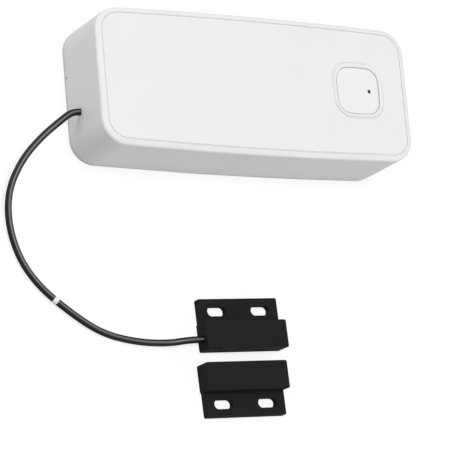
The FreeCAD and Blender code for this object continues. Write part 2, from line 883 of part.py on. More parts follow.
def make_reed_glass():
    middle = Vector(glass_shift, lead_from_gap, lead_z)
    half = Vector(glass_length / 2, 0, 0)
    seal = Vector(glass_seal, 0, 0)
    glass = rod(glass_radius, middle - half, middle + half)
    hollow = rod(glass_radius - glass_wall, middle - half + seal, middle + half - seal)
    return glass.cut([hollow, rod(reed_wire_radius, middle - half, middle + half)])


def make_reed_wires():
    # one core joins the near tail, the other runs beside the glass to the far tail
    start = lead_mouth() + Vector(reed_lead_length, 0, 0)
    near_tail = Vector(glass_shift - glass_length / 2 - blade_tail, lead_from_gap, lead_z)
    short = rod(reed_wire_radius, start, near_tail)
    side_start = start + Vector(0, 2 * reed_wire_radius + reed_wire_gap, 0)
    joint = side_wire_end()
    points = [
        side_start,
        side_start + Vector(reed_wire_bend / 2, 0, 0),
        Vector(start.x + 2 * reed_wire_bend, side_wire_y(), start.z),
        Vector(joint.x, side_wire_y(), joint.z),
        joint,
    ]
    return Part.makeCompound([short, bent_wire(points, reed_wire_radius)])


def side_wire_y():
    return lead_from_gap + glass_radius + reed_wire_radius + reed_wire_gap


def side_wire_end():
    return Vector(glass_shift + glass_length / 2 + blade_tail + reed_wire_radius, lead_from_gap, lead_z)


def potting_fill():
    # the compound stops a little short of the open back of the housing
    recess = block(Vector(-block_length, 0, -through), Vector(block_length, block_depth, potting_recess))
    return contact_cavity().cut(recess)


def make_reed_potting():
    # snug square channels hold the lead's end, the glass and the wires
    lead_end = lead_mouth() + Vector(reed_lead_length, 0, 0)
    lead_room = Vector(0, cable_radius, cable_radius)
    glass_end = Vector(glass_shift + glass_length / 2, lead_from_gap, lead_z)
    glass_room = Vector(0, glass_radius, glass_radius)
    wire_room = Vector(0, reed_wire_radius, reed_wire_radius)
    wire_end = side_wire_end() + Vector(reed_wire_radius, 0, 0)
    return potting_fill().cut([
        block(lead_mouth() - lead_room, lead_end + lead_room),
        block(glass_end - glass_room - Vector(glass_length, 0, 0), glass_end + glass_room),
        block(lead_end - wire_room, Vector(wire_end.x, side_wire_y(), lead_z) + wire_room),
    ])


def make_bar_magnet():
    middle = block_depth / 2
    low = Vector(-magnet_length / 2, middle - magnet_depth / 2, contact_floor - magnet_height)
    bar = block(low, low + Vector(magnet_length, magnet_depth, magnet_height))
    return bar.makeChamfer(contact_edge, bar.Edges)


def make_magnet_potting(magnet):
    return potting_fill().cut(magnet)


def in_reed_frame(x, y, z):
    a = math.radians(contact_turn)
    return reed_place + Vector(x * math.cos(a) - y * math.sin(a), x * math.sin(a) + y * math.cos(a), z)


def full_route():
    mouth = lead_mouth()
    start = Vector(-end_face, cable_y, cable_z)
    near_end = in_reed_frame(mouth.x - last_run, mouth.y, mouth.z)
    return [start] + cable_route + [near_end, in_reed_frame(mouth.x, mouth.y, mouth.z)]


def make_cable_marker(route):
    before = route[marker_run]
    after = route[marker_run + 1]
    along = after - before
    along.normalize()
    middle = (before + after) * 0.5
    start = middle - along * (marker_length / 2)
    end = middle + along * (marker_length / 2)
    bore = cable_radius + marker_clearance
    return cylinder(bore + marker_wall, start, end).cut(cylinder(bore, start, end))


def make_parts():
    route = full_route()
    cable, cable_length, radii = tube(route, cable_radius)
    expected = polygon_area(cable_radius) * cable_length
    print("cable length", round(cable_length, 1))
    print("cable volume over section times length", round(cable.Volume / expected, 4))
    print("cable radii", [round(r, 1) for r in radii])

    bar_magnet = make_bar_magnet()

    return {
        "wall_plate": make_wall_plate(),
        "adhesive_pads": Part.makeCompound(pad_solids()),
        "case": make_case(),
        "front_panel": make_front_panel(),
        "button_cap": make_button_cap(),
        "light_pipe": make_light_pipe(),
        "circuit_board": make_circuit_board(),
        "board_screws": make_board_screws(),
        "tact_switch": make_tact_switch(),
        "switch_plunger": make_switch_plunger(),
        "status_led": make_status_led(),
        "radio_board": on_board(radio_x, 0, radio_length, radio_width, radio_board_thickness, board_top),
        "radio_shield": make_radio_shield(),
        "antenna": make_antenna(),
        "microcontroller": on_board(chip_x, chip_y, chip_side, chip_side, chip_height, board_top),
        "crystal": make_crystal(),
        "battery_holder": make_battery_holder(),
        "battery_1": make_cell(1),
        "battery_2": make_cell(-1),
        "battery_springs": make_battery_springs(),
        "battery_plates": make_battery_plates(),
        "terminal_block": make_terminal_block(),
        "terminal_screws": make_terminal_screws(),
        "inner_lead": make_inner_lead(),
        "lead_cores": make_lead_cores(),
        "lead_clamp": make_lead_clamp(),
        "clamp_screws": make_clamp_screws(),
        "cable": cable,
        "cable_marker": make_cable_marker(route),
        "reed_housing": at_reed(make_reed_housing()),
        "reed_lead": at_reed(make_reed_lead()),
        "reed_wires": at_reed(make_reed_wires()),
        "reed_blades": at_reed(make_reed_blades()),
        "reed_glass": at_reed(make_reed_glass()),
        "reed_potting": at_reed(make_reed_potting()),
        "magnet_housing": at_magnet(contact_housing()),
        "bar_magnet": at_magnet(bar_magnet),
        "magnet_potting": at_magnet(make_magnet_potting(bar_magnet)),
    }


os.makedirs("parts", exist_ok=True)
for name, shape in make_parts().items():
    shape.exportStep("parts/" + name + ".step")
    print(name, len(shape.Solids), "solids, valid", shape.isValid(), "volume", round(shape.Volume, 2))
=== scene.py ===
import json
import math

import bmesh
import bpy
from mathutils import Matrix, Vector

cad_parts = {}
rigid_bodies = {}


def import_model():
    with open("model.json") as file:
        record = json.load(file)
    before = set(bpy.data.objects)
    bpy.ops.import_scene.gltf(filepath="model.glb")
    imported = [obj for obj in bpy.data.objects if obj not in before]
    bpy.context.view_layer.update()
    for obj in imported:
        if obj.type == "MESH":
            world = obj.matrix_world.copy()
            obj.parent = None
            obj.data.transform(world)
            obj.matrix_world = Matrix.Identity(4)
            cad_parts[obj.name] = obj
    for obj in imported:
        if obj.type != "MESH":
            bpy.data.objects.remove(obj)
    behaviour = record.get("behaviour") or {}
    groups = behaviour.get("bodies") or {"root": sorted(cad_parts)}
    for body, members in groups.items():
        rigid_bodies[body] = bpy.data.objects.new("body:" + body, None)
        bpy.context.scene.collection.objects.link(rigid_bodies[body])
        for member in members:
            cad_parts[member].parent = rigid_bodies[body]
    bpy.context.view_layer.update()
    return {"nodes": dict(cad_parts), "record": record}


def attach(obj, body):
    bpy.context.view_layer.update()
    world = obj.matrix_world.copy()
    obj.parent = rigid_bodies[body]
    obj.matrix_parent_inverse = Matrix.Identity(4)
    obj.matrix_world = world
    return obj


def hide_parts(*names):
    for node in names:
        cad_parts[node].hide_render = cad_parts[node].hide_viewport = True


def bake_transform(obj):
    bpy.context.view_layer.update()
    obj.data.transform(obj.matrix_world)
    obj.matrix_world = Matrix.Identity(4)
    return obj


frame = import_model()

mm = 0.001
over = 1.0       # how far a cutter reaches past the face that it opens, in mm
lap = 0.2        # how far joined solids reach into each other, in mm
hair = 0.001     # keeps the edge of a cutter off the face that it meets, in mm
sharpAngle = math.radians(32)
scene = bpy.context.scene
slotOf = {p["node"]: p["material_slot"] for p in frame["record"]["subparts"]}
bodies = frame["record"]["behaviour"]["bodies"]
bodyOf = {node: body for body, nodes in bodies.items() for node in nodes}

camera = {
    "place": (-0.4230007, -0.2529185, 0.7428491),
    "right": (0.8755509, -0.0869366, 0.4752396),
    "up": (-0.0420901, 0.9662104, 0.2542951),
    "forward": (0.4812889, 0.2426512, -0.8423072),
    "lens": 213.12, "sensorWidth": 36.0, "clip": (0.05, 20.0),
}


def linked(name, data):
    made = bpy.data.objects.new(name, data)
    scene.collection.objects.link(made)
    return made


def makeCamera(spec):
    data = bpy.data.cameras.new("camera")
    data.lens = spec["lens"]
    data.sensor_fit = "HORIZONTAL"
    data.sensor_width = spec["sensorWidth"]
    data.clip_start, data.clip_end = spec["clip"]
    eye = linked("camera", data)
    axes = (Vector(spec["right"]), Vector(spec["up"]), -Vector(spec["forward"]))
    turned = Matrix(axes).transposed().to_4x4()
    eye.matrix_world = Matrix.Translation(spec["place"]) @ turned
    scene.camera = eye


makeCamera(camera)
print("camera set")


# Node trees: a socket that takes part in sums, and one method that adds any node
class Value:
    def __init__(self, graph, socket):
        self.graph = graph
        self.socket = socket

    def maths(self, operation, *others):
        return self.graph.node("ShaderNodeMath", [self, *others], operation=operation)

    def __add__(self, other):
        return self.maths("ADD", other)

    __radd__ = __add__

    def __sub__(self, other):
        return self.maths("SUBTRACT", other)

    def __rsub__(self, other):
        return self.graph.node("ShaderNodeMath", [other, self], operation="SUBTRACT")

    def __mul__(self, other):
        return self.maths("MULTIPLY", other)

    __rmul__ = __mul__

    def __truediv__(self, other):
        return self.maths("DIVIDE", other)


class Graph:
    def __init__(self, tree):
        self.tree = tree
        tree.nodes.clear()

    def node(self, kind, inputs=(), out=0, **settings):
        # the settings come first, because some of them change which sockets there are
        made = self.tree.nodes.new(kind)
        for name, value in settings.items():
            if name == "stops":
                fillRamp(made.color_ramp, value)
            else:
                setattr(made, name, value)
        pairs = inputs.items() if isinstance(inputs, dict) else enumerate(inputs)
        for key, value in pairs:
            if isinstance(value, Value):
                self.tree.links.new(value.socket, made.inputs[key])
            elif value is not None:
                made.inputs[key].default_value = value
        return Value(self, made.outputs[out]) if len(made.outputs) else None

    def mixColour(self, factor, first, second):
        # the colour sockets of a Mix node are 6 and 7, and its colour output is 2
        return self.node("ShaderNodeMix", {0: factor, 6: first, 7: second}, 2, data_type="RGBA")

    def ramp(self, factor, *stops):
        return self.node("ShaderNodeValToRGB", [factor], stops=stops)

    def spread(self, factor, low, high):
        # most of a noise lies in its middle half
        fromTo = {"From Min": 0.25, "From Max": 0.75, "To Min": low, "To Max": high}
        return self.node("ShaderNodeMapRange", {"Value": factor, **fromTo})

    def clouded(self, cloud, low, high):
        # two colours that run into each other with a noise
        return self.mixColour(self.spread(cloud, 0.0, 1.0), colour(*low), colour(*high))


def fillRamp(ramp, stops):
    while len(ramp.elements) < len(stops):
        ramp.elements.new(1.0)
    for element, (position, tint) in zip(ramp.elements, stops):
        element.position = position
        element.color = tint


def colour(red, green=None, blue=None):
    # linear values; one number gives a grey
    if green is None:
        green = blue = red
    return (red, green, blue, 1.0)


class Finish(Graph):
    def __init__(self, name):
        self.material = bpy.data.materials.new(name)
        self.material.use_nodes = True
        super().__init__(self.material.node_tree)
        self.where = self.node("ShaderNodeTexCoord", out="Object")

    def noise(self, scale, detail, roughness=0.5):
        inputs = {"Vector": self.where, "Scale": scale, "Detail": detail, "Roughness": roughness}
        return self.node("ShaderNodeTexNoise", inputs)

    def surface(self, inputs, bump, depth, strength):
        # the bump is depth mm deep
        relief = {"Strength": strength, "Distance": depth * mm, "Height": bump}
        inputs = {**inputs, "Normal": self.node("ShaderNodeBump", relief)}
        shader = self.node("ShaderNodeBsdfPrincipled", inputs)
        self.node("ShaderNodeOutputMaterial", [shader])
        return self.material


# Base colour or grey, roughness, and the size and depth of the grain in mm
plastics = {
    "white_case": ((0.845,), 0.46, 0.35, 0.004),
    "white_panel": ((0.835,), 0.46, 0.35, 0.004),
    "white_button": ((0.86,), 0.4, 0.35, 0.003),
    "white_plate": ((0.74, 0.74, 0.745), 0.5, 0.4, 0.006),
    "white_clamp": ((0.78,), 0.5, 0.4, 0.005),
    "white_plunger": ((0.8, 0.8, 0.77), 0.4, 0.4, 0.004),
    "white_marker": ((0.9,), 0.5, 0.25, 0.003),
    "black_contact": ((0.0062, 0.0062, 0.0066), 0.6, 0.3, 0.01),
    "black_holder": ((0.018, 0.018, 0.019), 0.48, 0.4, 0.008),
    "black_switch": ((0.014, 0.014, 0.015), 0.42, 0.3, 0.006),
    "chip_resin": ((0.016, 0.016, 0.017), 0.62, 0.18, 0.008),
    "terminal_green": ((0.035, 0.27, 0.1), 0.4, 0.4, 0.005),
    "core_insulation": ((0.55, 0.55, 0.54), 0.42, 0.5, 0.003),
    "smoked_light_pipe": ((0.02, 0.02, 0.024), 0.25, 0.6, 0.001),
    "potting_compound": ((0.02, 0.02, 0.022), 0.3, 1.6, 0.03),
}
metals = {
    "plated_steel": ((0.62, 0.63, 0.65), 0.3, 0.25, 0.004),
    "tinned_shield": ((0.68, 0.68, 0.69), 0.34, 0.9, 0.008),
    "antenna_strip": ((0.76, 0.56, 0.26), 0.3, 0.4, 0.003),
    "crystal_can": ((0.7, 0.7, 0.71), 0.24, 0.8, 0.004),
    "nickel_spring": ((0.7, 0.67, 0.61), 0.26, 0.5, 0.003),
    "tinned_wire": ((0.66, 0.66, 0.67), 0.28, 0.4, 0.004),
    "magnet_alloy": ((0.3, 0.3, 0.31), 0.4, 0.25, 0.01),
}
# The plastics that reflect less
dull = {"white_marker": 0.2, "black_contact": 0.11, "smoked_light_pipe": 0.3}
# How far the colour and roughness of a plain finish drift, and what its grain adds
drift = {
    "scale": 90.0, "darker": 0.988, "paler": 1.01, "palest": 0.9, "smoother": 0.03, "rougher": 0.04,
    "grain": 0.1, "relief": 0.6,
}
# Scales are per metre; a relief is its depth in mm and its strength
jacket = {
    "grain": 2500.0, "cloud": 140.0, "relief": (0.004, 0.5), "black": ((0.006,), (0.01,)),
    # the paler strip along the jacket's upper side, and where it starts and ends on the crown, is a
    # painted highlight
    "worn": 0.135, "wornFrom": 0.92, "wornTo": 0.98,
    "rough": (0.28, 0.33), "roughGrain": 0.05, "gloss": 0.2,
}
mask = {
    "cells": 260.0, "weave": 1400.0, "relief": (0.02, 0.7), "track": 0.09, "gap": 0.12,
    "raised": 0.7, "rough": (0.24, 0.36), "coat": 0.3, "coatRough": 0.12,
    "green_board": ((0.012, 0.13, 0.045), (0.03, 0.2, 0.07)),
    "blue_board": ((0.008, 0.03, 0.16), (0.015, 0.06, 0.24)),
}
foam = {
    "cells": 3200.0, "cloud": 120.0, "relief": (0.05, 0.6), "rough": 0.85,
    "colours": ((0.7, 0.69, 0.66), (0.8, 0.79, 0.76)),
}
sleeve = {
    "cloud": 160.0, "grain": 3000.0, "relief": (0.004, 0.4), "rough": (0.26, 0.34),
    "colours": ((0.1, 0.12, 0.15), (0.13, 0.15, 0.19)), "metallic": 0.35,
    "coat": 0.5, "coatRough": 0.1,
}
glass = {
    "cloud": 500.0, "relief": (0.01, 0.2), "rough": (0.02, 0.06), "colour": (0.8, 0.92, 0.86),
    "clear": 0.92,
}
lens = {
    "cloud": 900.0, "relief": (0.005, 0.3), "rough": 0.2, "coat": 0.6,
    "colours": ((0.85, 0.8, 0.55), (0.92, 0.9, 0.8)),
}


def plainFinish(name, spec, metallic=0.0):
    # fine mould or rolling grain, and a slow drift of shade and roughness
    base, rough, size, depth = spec
    finish = Finish(name)
    grain = finish.noise(1 / (size * mm), 3.0, 0.6)
    cloud = finish.noise(drift["scale"], 3.0)
    dark = [c * drift["darker"] for c in base]
    pale = [min(c * drift["paler"], drift["palest"]) for c in base]
    low, high = rough - drift["smoother"], rough + drift["rougher"]
    inputs = {
        "Base Color": finish.clouded(cloud, dark, pale),
        "Roughness": finish.spread(cloud, low, high) + (grain - 0.5) * drift["grain"],
        "Metallic": metallic,
        "Specular IOR Level": dull.get(name, 0.5),
    }
    return finish.surface(inputs, grain, depth, drift["relief"])


def jacketFinish(name, spec):
    # soft black jacket, a narrow strip of its upper side painted paler: a painted highlight
    finish = Finish(name)
    crown = finish.node("ShaderNodeAttribute", out="Fac", attribute_name="crown")
    grain = finish.noise(spec["grain"], 3.0, 0.6)
    cloud = finish.noise(spec["cloud"], 2.0)
    # mask of the painted highlight along the upper side of the jacket
    worn = finish.ramp(crown, (spec["wornFrom"], colour(0.0)), (spec["wornTo"], colour(1.0)))
    black = finish.clouded(cloud, *spec["black"])
    inputs = {
        "Base Color": finish.mixColour(worn, black, colour(spec["worn"])),
        "Roughness": finish.spread(cloud, *spec["rough"]) + (grain - 0.5) * spec["roughGrain"],
        "Specular IOR Level": spec["gloss"],
    }
    return finish.surface(inputs, grain, *spec["relief"])


def boardFinish(name, spec):
    # solder mask over copper: tracks show as slightly paler raised lines
    finish = Finish(name)
    bare, copper = spec[name]
    inputs = {"Vector": finish.where, "Scale": spec["cells"]}
    cells = finish.node("ShaderNodeTexVoronoi", inputs, feature="DISTANCE_TO_EDGE")
    on, off = colour(1.0), colour(0.0)
    track = finish.ramp(cells, (0.0, on), (spec["track"], on), (spec["gap"], off))
    weave = finish.noise(spec["weave"], 2.0)
    inputs = {
        "Base Color": finish.mixColour(track, colour(*bare), colour(*copper)),
        "Roughness": finish.spread(weave, *spec["rough"]),
        "Coat Weight": spec["coat"],
        "Coat Roughness": spec["coatRough"],
    }
    bump = track * spec["raised"] + weave * (1 - spec["raised"])
    return finish.surface(inputs, bump, *spec["relief"])


def foamFinish(name, spec):
    finish = Finish(name)
    inputs = {"Vector": finish.where, "Scale": spec["cells"]}
    cells = finish.node("ShaderNodeTexVoronoi", inputs)
    cloud = finish.noise(spec["cloud"], 3.0)
    inputs = {"Base Color": finish.clouded(cloud, *spec["colours"]), "Roughness": spec["rough"]}
    return finish.surface(inputs, cells, *spec["relief"])


def sleeveFinish(name, spec):
    # plain shrink sleeve of a cell
    finish = Finish(name)
    cloud = finish.noise(spec["cloud"], 2.0)
    grain = finish.noise(spec["grain"], 2.0)
    inputs = {
        "Base Color": finish.clouded(cloud, *spec["colours"]),
        "Roughness": finish.spread(cloud, *spec["rough"]),
        "Metallic": spec["metallic"],
        "Coat Weight": spec["coat"],
        "Coat Roughness": spec["coatRough"],
    }
    return finish.surface(inputs, grain, *spec["relief"])


def glassFinish(name, spec):
    finish = Finish(name)
    cloud = finish.noise(spec["cloud"], 2.0)
    inputs = {
        "Base Color": colour(*spec["colour"]),
        "Roughness": finish.spread(cloud, *spec["rough"]),
        "Transmission Weight": spec["clear"],
        "IOR": 1.5,
    }
    return finish.surface(inputs, cloud, *spec["relief"])


def lensFinish(name, spec):
    finish = Finish(name)
    cloud = finish.noise(spec["cloud"], 2.0)
    pale, milky = spec["colours"]
    inputs = {
        "Base Color": finish.mixColour(cloud, colour(*pale), colour(*milky)),
        "Roughness": spec["rough"],
        "Coat Weight": spec["coat"],
    }
    return finish.surface(inputs, cloud, *spec["relief"])


finishes = {name: plainFinish(name, spec) for name, spec in plastics.items()}
finishes.update({name: plainFinish(name, spec, 1.0) for name, spec in metals.items()})
for name, make, spec in (
    ("cable_jacket", jacketFinish, jacket), ("green_board", boardFinish, mask),
    ("blue_board", boardFinish, mask), ("foam_tape", foamFinish, foam),
    ("battery_sleeve", sleeveFinish, sleeve), ("reed_glass", glassFinish, glass),
    ("led_lens", lensFinish, lens),
):
    finishes[name] = make(name, spec)
print("finishes made:", len(finishes))


def pieceFrom(name, bm):
    bmesh.ops.recalc_face_normals(bm, faces=bm.faces)
    mesh = bpy.data.meshes.new(name)
    bm.to_mesh(mesh)
    bm.free()
    return linked(name, mesh)


def evaluatedMesh(piece):
    graph = bpy.context.evaluated_depsgraph_get()
    return bpy.data.meshes.new_from_object(piece.evaluated_get(graph))


def baked(piece):
    # a plain mesh takes the place of the modifiers
    mesh, old = evaluatedMesh(piece), piece.data
    piece.modifiers.clear()
    piece.data = mesh
    bpy.data.meshes.remove(old)
    mesh.name = piece.name
    return piece


def combine(piece, other, operation):
    change = piece.modifiers.new("cut", "BOOLEAN")
    change.operation = operation
    change.solver = "EXACT"
    change.object = other
    baked(piece)
    bpy.data.objects.remove(other)
    return piece


def shadeSmooth(mesh, slot):
    mesh.materials.clear()
    mesh.materials.append(finishes[slot])
    mesh.shade_smooth()
    mesh.set_sharp_from_angle(angle=sharpAngle)


def placePiece(piece, body, slot, *nodes, weighted=True):
    # in its finish, on its body, for the CAD nodes that it replaces
    shadeSmooth(piece.data, slot)
    if weighted:
        piece.modifiers.new("flatFaces", "WEIGHTED_NORMAL").keep_sharp = True
    if nodes:
        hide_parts(*nodes)
    if body:
        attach(piece, body)
    return piece


# A geometry tree with named inputs, run on an empty mesh
class Shape(Graph):
    def __init__(self, name, **sockets):
        super().__init__(bpy.data.node_groups.new(name, "GeometryNodeTree"))
        self.ids = {}
        for label, kind in sockets.items():
            self.ids[label] = self.socket(label, "INPUT", kind).identifier
        self.socket("geometry", "OUTPUT", "Geometry")
        source = self.tree.nodes.new("NodeGroupInput")
        self.inputs = {label: Value(self, source.outputs[label]) for label in sockets}

    def socket(self, label, way, kind):
        return self.tree.interface.new_socket(label, in_out=way, socket_type="NodeSocket" + kind)

    def taken(self, label):
        # the shape of the object that an input names
        return self.node("GeometryNodeObjectInfo", {"Object": self.inputs[label]}, "Geometry")

    def line(self, label):
        # the same as a line whose sections stand upright
        line = self.node("GeometryNodeMeshToCurve", {"Mesh": self.taken(label)})
        return self.node("GeometryNodeSetCurveNormal", {"Curve": line}, mode="Z_UP")

    def close(self, geometry):
        whole = self.node("GeometryNodeRealizeInstances", [geometry])
        inputs = {"Geometry": whole, "Material": self.inputs["finish"]}
        self.node("NodeGroupOutput", [self.node("GeometryNodeSetMaterial", inputs)])
        return self

    def grow(self, name, slot, **values):
        piece = linked(name, bpy.data.meshes.new(name))
        change = piece.modifiers.new("build", "NODES")
        change.node_group = self.tree
        for label, value in {**values, "finish": finishes[slot]}.items():
            change[self.ids[label]] = value
        baked(piece)
        for value in values.values():
            if isinstance(value, bpy.types.Object):
                bpy.data.objects.remove(value)
        bm = bmesh.new()
        bm.from_mesh(piece.data)
        bmesh.ops.recalc_face_normals(bm, faces=bm.faces)
        bm.to_mesh(piece.data)
        bm.free()
        return piece


def sweptWallShape():
    # a closed profile carried round a closed outline
    shape = Shape("sweptWall", outline="Object", profile="Object", finish="Material")
    profile = shape.node("GeometryNodeMeshToCurve", {"Mesh": shape.taken("profile")})
    inputs = {"Curve": shape.line("outline"), "Profile Curve": profile}
    return shape.close(shape.node("GeometryNodeCurveToMesh", inputs))


def roundLeadShape():
    # a round lead along a stretch of a path; "crown" runs from -1 under it to 1 on its upper side
    sizes = {"radius": "Float", "sides": "Int", "start": "Float", "end": "Float"}
    shape = Shape("roundLead", path="Object", **sizes, finish="Material")
    # sockets 4 and 5 are the ends as lengths
    stretch = {0: shape.line("path"), 4: shape.inputs["start"], 5: shape.inputs["end"]}
    path = shape.node("GeometryNodeTrimCurve", stretch, mode="LENGTH")
    size = {"Resolution": shape.inputs["sides"], "Radius": shape.inputs["radius"]}
    circle = shape.node("GeometryNodeCurvePrimitiveCircle", size)
    place = shape.node("GeometryNodeInputPosition")
    height = shape.node("ShaderNodeSeparateXYZ", [place], "Y")
    crown = height / shape.inputs["radius"] * -1.0
    inputs = {"Geometry": circle, "Name": "crown", "Value": crown}
    marked = shape.node("GeometryNodeStoreNamedAttribute", inputs)
    inputs = {"Curve": path, "Profile Curve": marked, "Fill Caps": True}
    return shape.close(shape.node("GeometryNodeCurveToMesh", inputs))


def setOutShape():
    # copies of one piece at the points of another, each turned by its point's own angle
    sockets = {"piece": "Object", "places": "Object", "spread": "Float", "seed": "Int"}
    shape = Shape("setOut", **sockets, finish="Material")
    points = shape.node("GeometryNodeMeshToPoints", {"Mesh": shape.taken("places")})
    turn = shape.node("GeometryNodeInputNamedAttribute", {"Name": "turn"}, data_type="FLOAT")
    turned = shape.node("ShaderNodeCombineXYZ", {"Z": turn})
    spread = shape.inputs["spread"]
    # sockets 2 and 3 are the limits of a number
    limits = {2: 1.0 - spread, 3: spread + 1.0, "Seed": shape.inputs["seed"]}
    size = shape.node("FunctionNodeRandomValue", limits, 1, data_type="FLOAT")
    piece = shape.taken("piece")
    inputs = {"Points": points, "Instance": piece, "Rotation": turned, "Scale": size}
    return shape.close(shape.node("GeometryNodeInstanceOnPoints", inputs))


sweptWall = sweptWallShape()
roundLead = roundLeadShape()
setOut = setOutShape()


def lineObject(name, points, closed):
    count = len(points)
    edges = [(i, (i + 1) % count) for i in range(count if closed else count - 1)]
    mesh = bpy.data.meshes.new(name)
    mesh.from_pydata(points, edges, [])
    return linked(name, mesh)


def flatLine(name, points):
    return lineObject(name, [Vector((x, y, 0.0)) * mm for x, y in points], True)


def sweep(name, slot, outline, profile):
    # outline runs anticlockwise seen from the front; the profile is (inset, height)
    across = flatLine("outline", outline[::-1])
    section = flatLine("profile", [(x, -z) for x, z in profile])
    return sweptWall.grow(name, slot, outline=across, profile=section)


def copies(name, slot, piece, places, spread=0.0, seed=1):
    # a place is (x, y, z) or (x, y, z, turn in degrees), in mm
    mesh = bpy.data.meshes.new("places")
    mesh.from_pydata([Vector(p[:3]) * mm for p in places], [], [])
    turns = [math.radians(p[3]) if len(p) > 3 else 0.0 for p in places]
    mesh.attributes.new("turn", "FLOAT", "POINT").data.foreach_set("value", turns)
    spots = linked("places", mesh)
    return setOut.grow(name, slot, piece=piece, places=spots, spread=spread, seed=seed)


def lead(name, slot, points, radius, sides, start=0.0, end=1.0):
    path = lineObject("path", points, False)
    sizes = {"radius": radius * mm, "sides": sides, "start": start, "end": end}
    return roundLead.grow(name, slot, path=path, **sizes)


def softCorner(before, corner, after, radius, step):
    # points of the arc that rounds a corner, up to a step of degrees apart
    inward = (Vector(before) - Vector(corner)).normalized()
    onward = (Vector(after) - Vector(corner)).normalized()
    half = inward.angle(onward) / 2
    reach = radius / math.tan(half)
    middle = Vector(corner) + (inward + onward).normalized() * (radius / math.sin(half))
    first = Vector(corner) + inward * reach - middle
    last = Vector(corner) + onward * reach - middle
    swing = math.pi - 2 * half
    steps = max(2, math.ceil(math.degrees(swing) / step))
    points = []
    for i in range(steps + 1):
        share = i / steps
        a = math.sin((1 - share) * swing) / math.sin(swing)
        b = math.sin(share * swing) / math.sin(swing)
        points.append(middle + first * a + last * b)
    return points


def softLine(corners, closed=False, step=12.0):
    # corners are (x, y, radius); the ends of an open line stay sharp
    points = []
    count = len(corners)
    for i, (x, y, radius) in enumerate(corners):
        atEnd = not closed and i in (0, count - 1)
        if radius == 0 or atEnd:
            points.append((x, y))
            continue
        before = corners[i - 1][:2]
        after = corners[(i + 1) % count][:2]
        points.extend((p.x, p.y) for p in softCorner(before, (x, y), after, radius, step))
    return points


quarterTurns = ((1, 0), (0, 1), (-1, 0), (0, -1))     # cosine and sine
leastCorner = 0.02     # in mm, so that every loop of an outline has as many points


def arc(x, y, radius, first, last, steps):
    points = []
    for i in range(steps + 1):
        angle = first + (last - first) * i / steps
        points.append((x + radius * math.cos(angle), y + radius * math.sin(angle)))
    return points


def caseOutline(inset):
    # straight ends, crowned sides and tangent corners, moved inwards by inset
    crown, reach = caseShell["crown"], caseShell["length"] / 2
    cornerSteps, sideSteps = caseShell["steps"]
    radius = caseShell["corner"] - inset
    crownRadius = (reach ** 2 + crown ** 2) / (2 * crown) - inset
    cornerX = reach - inset - radius
    crownMiddle = caseShell["width"] / 2 - inset - crownRadius
    cornerY = crownMiddle + math.sqrt((crownRadius - radius) ** 2 - cornerX ** 2)
    turn = math.atan2(cornerY - crownMiddle, cornerX)
    corner = arc(cornerX, cornerY, radius, 0, turn, cornerSteps)
    quarter = corner + arc(0, crownMiddle, crownRadius, turn, math.pi / 2, sideSteps)[1:]
    top = quarter + [(-x, y) for x, y in quarter[-2::-1]]
    return top + [(-x, -y) for x, y in top]


def buttonOutline(grow):
    # four bulged sides joined by tangent corners, moved outwards by grow
    steps, rise, half = button["steps"], button["rise"], button["side"] / 2
    sideRadius = (half ** 2 + rise ** 2) / (2 * rise)
    lean = sideRadius - half
    reach = sideRadius - button["corner"]
    middle = (math.sqrt(2 * reach ** 2 - lean ** 2) - lean) / 2
    start = math.atan2(middle, middle + lean)
    end = math.pi / 2 - start
    quarter = arc(middle, middle, button["corner"] + grow, start, end, steps)
    quarter += arc(0, -lean, sideRadius + grow, end, end + 2 * start, steps)[1:-1]
    points = []
    for c, s in quarterTurns:
        for x, y in quarter:
            points.append((button["x"] + x * c - y * s, button["y"] + x * s + y * c))
    return points


def boxOutline(x, y, length, width, corner):
    def outline(inset):
        a, b = length / 2 - inset, width / 2 - inset
        radius = max(corner - inset, leastCorner)
        corners = [(x + a, y - b), (x + a, y + b), (x - a, y + b), (x - a, y - b)]
        return softLine([(*place, radius) for place in corners], closed=True, step=10.0)
    return outline


def levels(outline, profile):
    # one loop for each (inset, z) of a profile
    return [[(x, y, z) for x, y in outline(inset)] for inset, z in profile]


def skin(bm, loops):
    rows = [[bm.verts.new(Vector(p) * mm) for p in loop] for loop in loops]
    for first, second in zip(rows, rows[1:]):
        count = len(first)
        for i in range(count):
            j = (i + 1) % count
            bm.faces.new((first[i], first[j], second[j], second[i]))
    return rows


def cover(bm, rows):
    if len(rows) == 1:
        bm.faces.new(rows[0])
        return
    edges = []
    for row in rows:
        for i in range(len(row)):
            pair = (row[i], row[(i + 1) % len(row)])
            edges.append(bm.edges.get(pair) or bm.edges.new(pair))
    bmesh.ops.triangle_fill(bm, use_beauty=True, edges=edges)


def plate(name, outside, holes=(), pockets=()):
    # outside and holes run from the top down; a pocket opens at the bottom and has its own roof
    bm = bmesh.new()
    outer = skin(bm, outside)
    inner = [skin(bm, hole) for hole in holes]
    sunk = [skin(bm, pocket) for pocket in pockets]
    cover(bm, [outer[0]] + [rows[0] for rows in inner])
    cover(bm, [outer[-1]] + [rows[-1] for rows in inner + sunk])
    for rows in sunk:
        cover(bm, [rows[0]])
    return pieceFrom(name, bm)


def softEdge(inset, z, radius, steps=4):
    # profile of a rounded upper edge of a plate that starts at the given inset
    return arc(inset + radius, z - radius, radius, math.pi / 2, math.pi, steps)


def boxPiece(name, low, high, corner=leastCorner):
    middle = [(a + b) / 2 for a, b in zip(low[:2], high[:2])]
    size = [b - a for a, b in zip(low[:2], high[:2])]
    outline = boxOutline(*middle, *size, corner)
    return plate(name, levels(outline, [(0, high[2]), (0, low[2])]))


